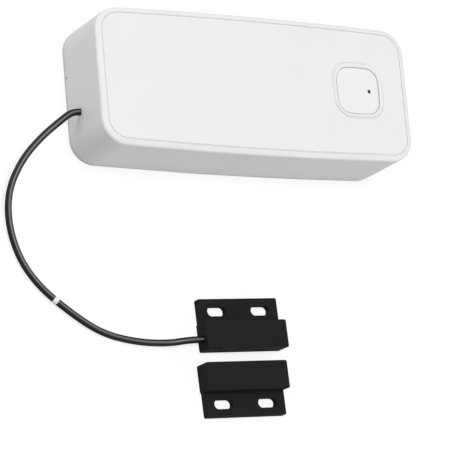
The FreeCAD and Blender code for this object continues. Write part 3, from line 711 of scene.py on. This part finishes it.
def turned(name, profile, origin=(0, 0, 0), axis="Z", sides=40, closed=False):
    # profile is (radius, place along the axis); radius 0 is a pole, and closed joins its two ends
    bm = bmesh.new()
    rows = []
    for radius, along in profile:
        row = []
        for i in range(sides if radius else 1):
            angle = 2 * math.pi * i / sides
            across = (radius * math.cos(angle), radius * math.sin(angle))
            spot = (*across, along) if axis == "Z" else (along, *across)
            row.append(bm.verts.new((Vector(origin) + Vector(spot)) * mm))
        rows.append(row)
    pairs = list(zip(rows, rows[1:]))
    if closed:
        pairs.append((rows[-1], rows[0]))
    for first, second in pairs:
        for i in range(sides):
            ring = [first[i % len(first)], first[(i + 1) % len(first)],
                    second[(i + 1) % len(second)], second[i % len(second)]]
            corners = list(dict.fromkeys(ring))
            if len(corners) > 2:
                bm.faces.new(corners)
    for row in (rows[0], rows[-1]):
        if not closed and len(row) > 1:
            bm.faces.new(row)
    return pieceFrom(name, bm)


def rodAlongX(name, start, length, radius, sides=40):
    return turned(name, [(0, 0), (radius, 0), (radius, length), (0, length)], start, "X", sides)


refining = {"merge": 0.002, "flat": 0.8, "corner": 38, "segments": 2}     # mm and degrees


def refined(node, width):
    # the CAD piece with its triangles merged into faces and its edges rounded
    mesh = frame["nodes"][node].data.copy()
    bm = bmesh.new()
    bm.from_mesh(mesh)
    bmesh.ops.remove_doubles(bm, verts=bm.verts, dist=refining["merge"] * mm)
    flat = math.radians(refining["flat"])
    bmesh.ops.dissolve_limit(bm, angle_limit=flat, verts=bm.verts, edges=bm.edges)
    bm.to_mesh(mesh)
    bm.free()
    first, *rest = node.split("_")
    piece = linked(first + "".join(word.capitalize() for word in rest), mesh)
    soften = piece.modifiers.new("edges", "BEVEL")
    soften.width = width * mm
    soften.segments = refining["segments"]
    soften.limit_method = "ANGLE"
    soften.angle_limit = math.radians(refining["corner"])
    return placePiece(piece, bodyOf[node], slotOf[node], node)


cable = {
    "radius": 1.078,
    "route": [
        (-55.0, -7.8, 9.2), (-57.6, -7.8, 9.2), (-61.9, -11.1, 8.9), (-67.7, -15.9, 7.3),
        (-73.7, -22.8, 5.0), (-78.0, -32.2, 2.9), (-78.0, -42.8, 1.5), (-74.7, -53.4, 1.1),
        (-68.7, -61.7, 1.4), (-59.3, -69.1, 1.4), (-49.3, -75.1, 1.1), (-37.9, -77.5, 1.1),
        (-27.3, -77.8, 1.4), (-20.039, -76.815, 3.0), (-15.843, -76.631, 3.0),
    ],
    "sides": 24, "length": 0.1245,
    "bendStart": (-0.056, -0.008, 0.009), "bendEnd": (-0.066, -0.044, 0.009),
}
marker = {"middle": (-64.0, -65.4, 1.4), "length": 1.5, "radius": 1.16}


def splinePoints(route):
    curve = bpy.data.curves.new("route", "CURVE")
    curve.dimensions = "3D"
    curve.resolution_u = 16
    spline = curve.splines.new("NURBS")
    spline.points.add(len(route) - 1)
    for point, place in zip(spline.points, route):
        point.co = (*[c * mm for c in place], 1.0)
    spline.order_u = 3
    spline.use_endpoint_u = True
    guide = linked("route", curve)
    mesh = evaluatedMesh(guide)
    points = [v.co.copy() for v in mesh.vertices]
    bpy.data.objects.remove(guide)
    bpy.data.meshes.remove(mesh)
    return points


cablePoints = splinePoints(cable["route"])
steps = [(b - a).length for a, b in zip(cablePoints, cablePoints[1:])]
cablePiece = lead("freeCable", "cable_jacket", cablePoints, cable["radius"], cable["sides"])
placePiece(cablePiece, None, "cable_jacket", "cable", weighted=False)
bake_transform(cablePiece)

markerMiddle = Vector(marker["middle"]) * mm
nearest = min(range(len(cablePoints)), key=lambda i: (cablePoints[i] - markerMiddle).length)
half = marker["length"] / 2 * mm
middle = sum(steps[:nearest])
markerPiece = lead("cableMarker", "white_marker", cablePoints, marker["radius"], cable["sides"],
                   middle - half, middle + half)
placePiece(markerPiece, "root", "white_marker", "cable_marker")
print("cable made, mm:", round(sum(steps) / mm, 1))


# The case and the front panel have holes at the same places
screw = {
    "head": 1.9, "height": 1.3, "shank": 1.0, "core": 0.82, "sides": 28,
    "pitch": 0.7, "land": 0.9, "threadFrom": 0.2, "threadTo": 0.4, "point": (0.6, 0.2),
    "headShape": [(0.55, 1.0), (0.84, 0.86), (0.97, 0.55), (1.0, 0.2), (1.0, 0.0)],
    "recess": (1.1, 0.32, 0.75), "recessCorner": 0.05,
    "turn": (25.0, 40.0),     # of the first screw, and from each to the next
    "board": {"seat": 15.8, "bite": 5.1,
              "places": [(-42.0, 15.0), (-42.0, -15.0), (46.6, 15.0), (46.6, -15.0)]},
    "clamp": {"seat": 6.3, "bite": 7.0, "places": [(-51.0, -11.2), (-51.0, -4.4)]},
}
caseShell = {
    "length": 110.0, "width": 45.4, "corner": 8.0, "crown": 1.0, "steps": (12, 36),
    "bottom": 1.15, "front": 24.4, "wall": 1.8, "band": 1.85, "drop": 0.8,
    "ledgeWidth": 2.3, "ledgeTop": 22.8, "ledgeBottom": 21.4,
    "footRound": 0.2, "rimRound": 1.1, "crestRound": 0.3, "ledgeRound": 0.1,
    "clampBoss": ((-54.1, -12.6, 9.3), (-48.8, -3.0, 22.1), 0.5),
    "bores": [     # start, length, radius and sides
        ((-57.0, -7.8, 9.2), 4.2, 1.15, 40),      # lets the cable in
        ((-53.5, -7.8, 9.2), 6.0, 1.12, 40),      # under the clamp bar
        ((-57.0, 5.3, 1.675), 5.0, 0.45, 20),     # for the release pin
    ],
    "screwHole": {"radius": 1.05, "low": 9.3, "high": 13.8, "point": 0.3},
    "window": {"depth": 0.75, "half": 3.5, "low": 2.2, "high": 3.6},
    "hooks": [(53.2, 5.3, 0, 0), (-53.2, 5.3, 0, 180), (30.0, 20.6025, 0, 90),
              (-30.0, 20.6025, 0, 90), (30.0, -20.6025, 0, -90), (-30.0, -20.6025, 0, -90)],
}
button = {
    "x": 36.1, "y": 0.5, "side": 15.1, "rise": 0.45, "corner": 4.3, "steps": 10, "gap": 0.25,
    "top": 24.5, "edge": 0.2, "skirt": 0.2, "skirtDepth": 0.5,
    "flange": 0.75, "flangeTop": 22.75, "bottom": 22.0,
    "pocket": 10.4, "pocketTop": 23.3, "pocketCorner": 0.6,
    "stem": (1.75, 21.73),     # radius and foot, a hair above the plunger that it presses
    "light": {     # the light pipe's hole, beside the button's middle
        "offset": 4.1, "hole": 0.62, "mouth": 0.03, "head": 1.03, "headTop": 23.0, "sleeve": 1.63,
    },
}


def makeCase(spec):
    band, wall, bottom, front = spec["band"], spec["wall"], spec["bottom"], spec["front"]
    ledge, high, low = band + spec["ledgeWidth"], spec["ledgeTop"], spec["ledgeBottom"]
    foot, soft = spec["footRound"], spec["ledgeRound"]
    profile = softLine([
        (0.0, bottom, foot), (0.0, front - spec["drop"], spec["rimRound"]),
        (band, front, spec["crestRound"]), (band, high, 0.0), (ledge, high, soft),
        (ledge, low, soft), (wall, low, 0.0), (wall, bottom, foot),
    ], closed=True, step=6.0)
    shell = sweep("caseShell", "white_case", caseOutline(0), profile)
    combine(shell, boxPiece("clampBoss", *spec["clampBoss"]), "UNION")
    for bore in spec["bores"]:
        combine(shell, rodAlongX("bore", *bore), "DIFFERENCE")
    hole = spec["screwHole"]
    radius, low, high = hole["radius"], hole["low"] - over, hole["high"]
    profile = [(0, low), (radius, low), (radius, high), (0, high + hole["point"])]
    bore = turned("bore", profile, sides=24)
    places = [(x, y, 0) for x, y in screw["clamp"]["places"]]
    combine(shell, copies("screwHoles", "white_case", bore, places), "DIFFERENCE")
    size = spec["window"]
    low, high = (-over, -size["half"], size["low"]), (size["depth"], size["half"], size["high"])
    windows = copies("windows", "white_case", boxPiece("window", low, high), spec["hooks"])
    return combine(shell, windows, "DIFFERENCE")


placePiece(makeCase(caseShell), "unit", "white_case", "case")
print("case made")


panel = {
    "inset": 2.1, "top": 24.4, "bottom": 22.8, "edge": 0.28,
    "skirt": 0.2, "skirtDepth": 0.46,     # a step below the edge that makes the groove shallow
    "ring": {"width": 1.3, "top": 0.8, "rise": 0.4, "foot": 0.15, "outer": 0.25, "inner": 0.4},
    "valley": {"depth": 0.52, "width": 0.4, "round": 0.25},     # groove round the foot of the ring
    "collar": (1.0, 2.0, 21.1),
    "boss": {"radius": 2.5, "low": 17.4, "bore": 1.05, "boreTop": 21.4, "chamfer": 0.2},
}


def makePanel(spec):
    top, bottom, edge = spec["top"], spec["bottom"], spec["edge"]
    skirt, step = spec["skirt"], top - spec["skirtDepth"]
    profile = softEdge(0, top, edge) + [(0, step), (-skirt, step), (-skirt, bottom)]
    outside = levels(lambda i: caseOutline(spec["inset"] + i), profile)
    ring, valley, gap = spec["ring"], spec["valley"], button["gap"]
    foot, crest = gap + ring["width"], top + ring["rise"]
    profile = softLine([
        (foot + 2 * valley["width"], top, 0.0), (foot + valley["width"], top, valley["round"]),
        (foot, top - valley["depth"], ring["foot"]), (gap + ring["top"], crest, ring["outer"]),
        (gap, crest, ring["inner"]), (gap, bottom, 0.0),
    ])
    inside = [[(x, y, z) for x, y in buttonOutline(grow)] for grow, z in profile]
    piece = plate("frontPanel", outside, holes=[inside])
    near, far, low = spec["collar"]
    section = [(near, bottom + lap), (far, bottom + lap), (far, low), (near, low)]
    section = [(-grow, z) for grow, z in section]
    combine(piece, sweep("collar", "white_panel", buttonOutline(0), section), "UNION")
    size = spec["boss"]
    radius, low, bore, cut = size["radius"], size["low"], size["bore"], size["chamfer"]
    boss = turned("boss", [
        (0, size["boreTop"]), (bore, size["boreTop"]), (bore, low + cut), (bore + cut, low),
        (radius - cut, low), (radius, low + cut), (radius, bottom + lap), (0, bottom + lap),
    ])
    places = [(x, y, 0) for x, y in screw["board"]["places"]]
    return combine(piece, copies("bosses", "white_panel", boss, places), "UNION")


def makeButton(spec):
    top, skirt, flange = spec["top"], spec["skirt"], spec["flange"]
    bottom, step = spec["bottom"], top - spec["skirtDepth"]
    profile = softEdge(0, top, spec["edge"], steps=5) + [
        (0, step), (-skirt, step), (-skirt, spec["flangeTop"]), (-flange, spec["flangeTop"]),
        (-flange, bottom),
    ]
    outside = levels(lambda i: buttonOutline(-i), profile)
    size = spec["pocket"]
    inside = boxOutline(spec["x"], spec["y"], size, size, spec["pocketCorner"])
    pocket = levels(inside, [(0, spec["pocketTop"]), (0, bottom)])
    cap = plate("buttonCap", outside, pockets=[pocket])
    light = spec["light"]
    middle = (spec["x"], spec["y"], 0)
    beside = (spec["x"] + light["offset"], spec["y"], 0)
    high = spec["pocketTop"] + lap
    for name, (radius, low), place in (
        ("stem", spec["stem"], middle), ("sleeve", (light["sleeve"], bottom), beside),
    ):
        profile = [(0, low), (radius, low), (radius, high), (0, high)]
        combine(cap, turned(name, profile, place), "UNION")
    hole, mouth, head, inner = light["hole"], light["mouth"], light["head"], light["headTop"]
    low, high = bottom - over, top + over
    bore = [(0, low), (head, low), (head, inner), (hole, inner), (hole, top - mouth),
            (hole + mouth, top + hair), (hole + mouth, high), (0, high)]
    return combine(cap, turned("lightBore", bore, beside, sides=32), "DIFFERENCE")


placePiece(makePanel(panel), "unit", "white_panel", "front_panel")
placePiece(makeButton(button), "button", "white_button", "button_cap")
print("panel and button made")


contact = {
    "block": (28.8, 8.9, 6.0), "flange": (28.2, 7.7, 2.2), "flangeLap": 1.0,
    "corner": 0.6, "edge": 0.2,
    "slot": (6.5, 3.05), "slotSpacing": 15.5, "slotFromBlock": 3.7, "lip": (0.12, 0.035),
    "wall": 1.4, "roof": 1.2, "pocketCorner": 0.4,
    "mouth": {"fromGap": 3.6, "height": 3.0, "radius": 1.15, "past": 0.5},
    "turn": 2.5, "reed": (-1.3, -79.6), "magnet": (-2.7, -83.7),
}


def makeContact(name, spec, place, turn, mouth):
    # made with the middle of its gap face at the origin and its flange towards +Y
    length, depth, height = spec["block"]
    flangeLength, flangeDepth, thick = spec["flange"]
    edge, wall, corner = spec["edge"], spec["wall"], spec["corner"]
    outline = boxOutline(0, depth / 2, length, depth, corner)
    outside = levels(outline, softEdge(0, height, edge) + [(0, 0)])
    inside = boxOutline(0, depth / 2, length - 2 * wall, depth - 2 * wall, spec["pocketCorner"])
    pocket = levels(inside, [(0, height - spec["roof"]), (0, 0)])
    piece = plate(name, outside, pockets=[pocket])
    hidden = spec["flangeLap"]
    middle = depth + (flangeDepth - hidden) / 2
    outline = boxOutline(0, middle, flangeLength, flangeDepth + hidden, corner)
    outside = levels(outline, softEdge(0, thick, edge) + [(0, 0)])
    flange = plate("flange", outside)
    slotLength, slotWidth = spec["slot"]
    outline = boxOutline(0, depth + spec["slotFromBlock"], slotLength, slotWidth, slotWidth / 2)
    wide, mid = spec["lip"]
    lip = [(-wide, thick + over), (-wide, thick), (-mid, thick - mid), (0, thick - wide),
           (0, -over)]
    slot = plate("slot", levels(outline, lip))
    half = spec["slotSpacing"] / 2
    slots = copies("slots", "black_contact", slot, [(-half, 0, 0), (half, 0, 0)])
    combine(flange, slots, "DIFFERENCE")
    combine(piece, flange, "UNION")
    if mouth:
        hole = spec["mouth"]
        start = (-length / 2 - over, hole["fromGap"], hole["height"])
        rod = rodAlongX("mouth", start, over + wall + hole["past"], hole["radius"])
        combine(piece, rod, "DIFFERENCE")
    shift = Matrix.Translation(Vector((*place, 0)) * mm)
    piece.data.transform(shift @ Matrix.Rotation(math.radians(turn), 4, "Z"))
    return piece


for item, body, turn, mouth in (("reed", "root", 0, True), ("magnet", "magnet", 180, False)):
    piece = makeContact(item + "Housing", contact, contact[item], contact["turn"] + turn, mouth)
    placePiece(piece, body, "black_contact", item + "_housing")
print("contacts made")


def panHead(spec, bite):
    # head below the seat, thread upwards, with a cross recess in the head
    head, height, shank, core = spec["head"], spec["height"], spec["shank"], spec["core"]
    profile = [(0, -height)] + [(head * a, -height * b) for a, b in spec["headShape"]] + [(core, 0)]
    z, pitch = spec["threadFrom"], spec["pitch"]
    while z + pitch < bite - spec["threadTo"]:
        profile += [(core, z), (shank, z + pitch / 2), (core, z + pitch * spec["land"])]
        z += pitch
    share, length = spec["point"]
    profile += [(core, z), (core * share, bite - length), (0, bite)]
    piece = turned("screw", profile, sides=spec["sides"])
    reach, half, depth = spec["recess"]
    for a, b in ((reach, half), (half, reach)):
        low, high = (-a, -b, -height - over), (a, b, -height + depth)
        combine(piece, boxPiece("recess", low, high, spec["recessCorner"]), "DIFFERENCE")
    return piece


first, onward = screw["turn"]
for name in ("board", "clamp"):
    spec = screw[name]
    places = [(*p, spec["seat"], first + onward * i) for i, p in enumerate(spec["places"])]
    piece = copies(name + "Screws", "plated_steel", panHead(screw, spec["bite"]), places)
    placePiece(piece, "unit", "plated_steel", name + "_screws")
print("screws made")


cell = {
    "radius": 5.25, "length": 44.5, "nub": 1.9, "nubLength": 0.8, "height": 9.35, "y": 5.6,
    "foot": {1: 1.15, -1: 42.85}, "sides": 64,
    # the shrink sleeve: its film, how far it rolls over each end, its lip and its inside there
    "film": 0.35, "baseRoll": 0.75, "topRoll": 1.2, "lip": 0.25, "under": 0.3,
    # points of the can: in from the radius, along the cell, rounding; then its shoulder
    "base": [(1.0, 0.12, 0.1), (0.7, 0.05, 0.05), (0.4, 0.3, 0.05)],
    "shoulder": {"in": 0.4, "down": 0.35, "fromNub": 0.3, "slope": 0.1, "round": 0.15},
    "nubRound": (0.1, 0.2),
}


def makeCell(name, node, spec, side):
    # shrink sleeve rolled over both ends, with the bare steel ends set a little inside it
    radius, length = spec["radius"], spec["length"]
    origin = (spec["foot"][side], side * spec["y"], spec["height"])
    film, lip, under = spec["film"], spec["lip"], spec["under"]
    base, top = radius - spec["baseRoll"], radius - spec["topRoll"]
    wrap = softLine([
        (base, 0.0, 0), (radius, 0.0, film), (radius, length, film), (top, length, 0),
        (top, length - lip, 0), (radius - film, length - under, 0), (radius - film, under, 0),
        (base, lip, 0),
    ])
    profile = [(r, side * x) for r, x in wrap]
    wrap = turned(name, profile, origin, "X", spec["sides"], closed=True)
    placePiece(wrap, "unit", "battery_sleeve", node)
    nub, tip, bend = spec["nub"], length + spec["nubLength"], spec["shoulder"]
    foot, crown = spec["nubRound"]
    can = softLine([
        (0, spec["base"][0][1], 0), *[(radius - a, x, r) for a, x, r in spec["base"]],
        (radius - bend["in"], length - bend["down"], 0),
        (nub + bend["fromNub"], length - bend["slope"], bend["round"]),
        (nub, length, foot), (nub, tip, crown), (0, tip, 0),
    ])
    can = turned(name + "Can", [(r, side * x) for r, x in can], origin, "X", spec["sides"])
    placePiece(can, "unit", "plated_steel")


for name, side in (("battery_1", 1), ("battery_2", -1)):
    makeCell(name.replace("_", "Cell"), name, cell, side)
print("cells made")


board = {
    "top": 17.4,
    "joint": {
        "radius": 0.85, "height": 0.75, "toe": (0.95, 0.04), "sunk": 0.03,
        "shape": [(0.0, 1.0), (0.3, 1.0), (0.42, 0.7), (0.6, 0.32)],
        "places": [(-40.0, -10.34), (-40.0, -5.26), (-33.0, 0.0), (-28.0, 0.0), (-2.9, 5.6),
                   (-2.9, -5.6), (46.9, 5.6), (46.9, -5.6)],
    },
    "chip": {
        "x": 14.0, "y": -13.0, "half": 3.5, "pitch": 0.8, "count": 8, "width": 0.32, "thick": 0.14,
        "reach": 0.95, "height": 0.62, "shoulder": (0.3, 0.2), "heel": (0.5, 0.38),
    },
    "radio": {
        "x": -22.0, "half": 9.0, "pitch": 2.0, "count": 10,
        "width": 0.5, "thick": 0.06, "height": 0.8, "sunk": 0.02,
    },
}


def spacedOut(spec):
    # where the leads of a row stand along it
    return [(i - (spec["count"] - 1) / 2) * spec["pitch"] for i in range(spec["count"])]


def makeJoints(spec):
    joint = spec["joint"]
    radius, height, sunk = joint["radius"], joint["height"], joint["sunk"]
    share, toe = joint["toe"]
    profile = [(radius * a, height * b) for a, b in joint["shape"]]
    profile += [(radius * share, toe), (radius, 0), (radius, -sunk), (0, -sunk)]
    places = [(*place, spec["top"]) for place in joint["places"]]
    drop = turned("joint", profile, sides=20)
    return copies("solderJoints", "tinned_wire", drop, places, spread=0.08, seed=4)


def makeChipLeads(spec):
    # gull-wing leads on all four sides
    chip = spec["chip"]
    half, width, thick, height = chip["half"], chip["width"], chip["thick"], chip["height"]
    reach, (outer, inner), (toe, heel) = chip["reach"], chip["shoulder"], chip["heel"]
    under = height - thick
    side = [(0, height), (outer, height), (toe, thick), (reach, thick), (reach, 0), (heel, 0),
            (inner, under), (0, under)]
    bm = bmesh.new()
    rows = [[bm.verts.new(Vector((x, y, z)) * mm) for x, z in side]
            for y in (-width / 2, width / 2)]
    for i in range(len(side)):
        j = (i + 1) % len(side)
        bm.faces.new((rows[0][i], rows[0][j], rows[1][j], rows[1][i]))
    for row in rows:
        bm.faces.new(row)
    gull = pieceFrom("gull", bm)
    places = []
    for i, (c, s) in enumerate(quarterTurns):
        for along in spacedOut(chip):
            x, y = chip["x"] + half * c - along * s, chip["y"] + half * s + along * c
            places.append((x, y, spec["top"], 90 * i))
    return copies("chipLeads", "tinned_wire", gull, places)


def makeRadioPads(spec):
    radio = spec["radio"]
    half, sunk = radio["width"] / 2, radio["sunk"]
    pad = boxPiece("pad", (-half, -sunk, -sunk), (half, radio["thick"], radio["height"]))
    places = []
    for turn, y in ((0, radio["half"]), (180, -radio["half"])):
        for along in spacedOut(radio):
            places.append((radio["x"] + along, y, spec["top"], turn))
    return copies("radioPads", "antenna_strip", pad, places)


placePiece(makeJoints(board), "unit", "tinned_wire")
placePiece(makeChipLeads(board), "unit", "tinned_wire")
placePiece(makeRadioPads(board), "unit", "antenna_strip")
print("board details made")


# How wide the edges of the other pieces are rounded, in mm
edges = {
    "wall_plate": 0.2, "adhesive_pads": 0.2, "light_pipe": 0.03, "lead_clamp": 0.2,
    "circuit_board": 0.06, "tact_switch": 0.12, "switch_plunger": 0.15, "status_led": 0.08,
    "radio_board": 0.06, "radio_shield": 0.2, "antenna": 0.06, "microcontroller": 0.1,
    "crystal": 0.3, "battery_holder": 0.2, "battery_springs": 0.05, "battery_plates": 0.06,
    "terminal_block": 0.2, "terminal_screws": 0.1, "reed_potting": 0.12, "magnet_potting": 0.12,
    "bar_magnet": 0.08,
}
for node, width in edges.items():
    refined(node, width)
for name, node in frame["nodes"].items():
    if not node.hide_render:
        shadeSmooth(node.data, slotOf[name])
print("inner pieces finished")


light = {
    "world": 0.315,
    "target": (-0.01, -0.04, 0.0),
    "key": {"place": (0.0, 0.05, 1.58), "size": 0.5, "power": 12.7},
    "left": {"place": (-0.75, 0.65, 0.45), "size": 1.0, "power": 3.75},
    "right": {"place": (0.7, -0.7, 0.35), "size": 0.4, "power": 2.1},
}
ground = {
    "side": 1.1, "below": 0.05, "colours": ((0.67,), (0.68,)), "cloud": 3.0,
    "shade": 0.24,     # how much of the light and shadow on the floor the camera sees
    "glow": 0.79,
}


def makeFloor(spec):
    finish = Finish("floor")
    seen = finish.node("ShaderNodeLightPath", out="Is Camera Ray")
    tone = finish.clouded(finish.noise(spec["cloud"], 2.0), *spec["colours"])
    plain = finish.node("ShaderNodeBsdfDiffuse", {"Color": tone})
    inputs = {"Color": colour(1.0), "Strength": spec["glow"]}
    glow = finish.node("ShaderNodeEmission", inputs)
    pale = finish.node("ShaderNodeBsdfDiffuse", {"Color": colour(spec["shade"])})
    shade = finish.node("ShaderNodeAddShader", [pale, glow])
    mixed = finish.node("ShaderNodeMixShader", [seen, plain, shade])
    finish.node("ShaderNodeOutputMaterial", [mixed])
    half = spec["side"] / 2
    corners = [(-half, -half, 0), (half, -half, 0), (half, half, 0), (-half, half, 0)]
    mesh = bpy.data.meshes.new("floor")
    mesh.from_pydata(corners, [], [(0, 1, 2, 3)])
    mesh.materials.append(finish.material)
    floor = linked("floor", mesh)
    floor.location.z = -spec["below"] * mm


def makeWorld(strength):
    world = bpy.data.worlds.new("studio")
    scene.world = world
    world.use_nodes = True
    graph = Graph(world.node_tree)
    rays = [graph.node("ShaderNodeLightPath", out=name)
            for name in ("Is Camera Ray", "Is Glossy Ray", "Is Transmission Ray")]
    seen = rays[0].maths("MAXIMUM", rays[1].maths("MAXIMUM", rays[2]))
    soft, white = [graph.node("ShaderNodeBackground", {"Color": colour(1.0), "Strength": power})
                   for power in (strength, 1.0)]
    mixed = graph.node("ShaderNodeMixShader", [seen, soft, white])
    graph.node("ShaderNodeOutputWorld", [mixed])


def makeLamp(name, spec, target):
    data = bpy.data.lights.new(name, "AREA")
    data.shape = "DISK"
    data.size = spec["size"]
    data.energy = spec["power"]
    lamp = linked(name, data)
    lamp.location = spec["place"]
    lamp.rotation_mode = "QUATERNION"
    way = Vector(target) - Vector(spec["place"])
    lamp.rotation_quaternion = way.to_track_quat("-Z", "Y")


makeFloor(ground)
makeWorld(light["world"])
for name in ("key", "left", "right"):
    makeLamp(name, light[name], light["target"])
scene.view_settings.view_transform = "Standard"
print("stage lit")
